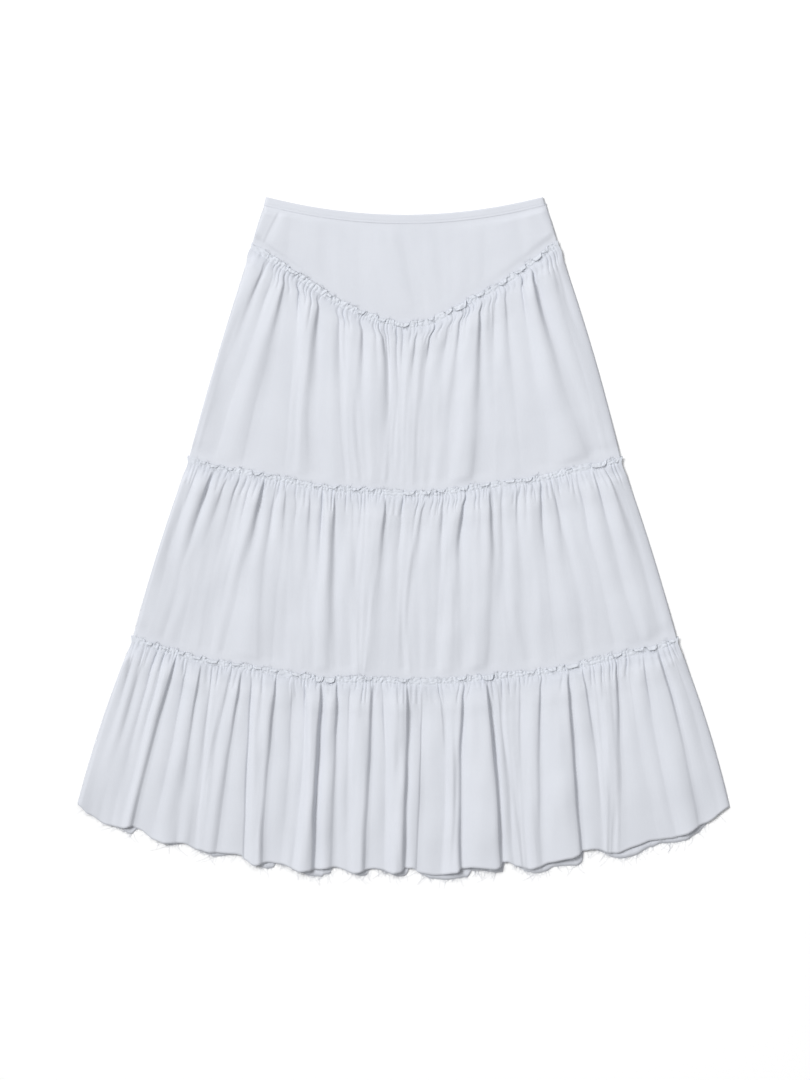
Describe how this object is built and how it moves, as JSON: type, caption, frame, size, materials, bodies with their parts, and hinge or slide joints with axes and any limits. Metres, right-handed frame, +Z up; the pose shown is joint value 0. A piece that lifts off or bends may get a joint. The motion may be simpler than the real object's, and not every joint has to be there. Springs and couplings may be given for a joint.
{
  "type": "tiered ruffle skirt",
  "caption": "Long flared skirt laid flat, with a narrow waistband, a V-edged hip yoke and gathered tiers with raw frilled seams and a frayed raw hem.",
  "frame": {"origin": "on the surface the skirt lies on, under the middle of its width and of its length", "axes": "+X across the skirt, +Y along its length towards the waist, +Z up from the surface, towards the front of the skirt"},
  "size_m": [0.8342, 0.8733, 0.0143],
  "materials": {
    "skirt_cloth": "matt plain-woven cotton, pale blue-grey",
    "waistband_cloth": "matt plain-woven cotton, folded and topstitched, pale blue-grey",
    "thread": "matt cotton thread, pale blue-grey"
  },
  "bodies": {
    "root": {"waistband_front": "waistband_cloth", "waistband_back": "waistband_cloth", "yoke_front": "skirt_cloth", "yoke_back": "skirt_cloth", "tier_1_front": "skirt_cloth", "tier_1_back": "skirt_cloth", "tier_2_front": "skirt_cloth", "tier_2_back": "skirt_cloth", "tier_3_front": "skirt_cloth", "tier_3_back": "skirt_cloth"}
  },
  "joints": []
}
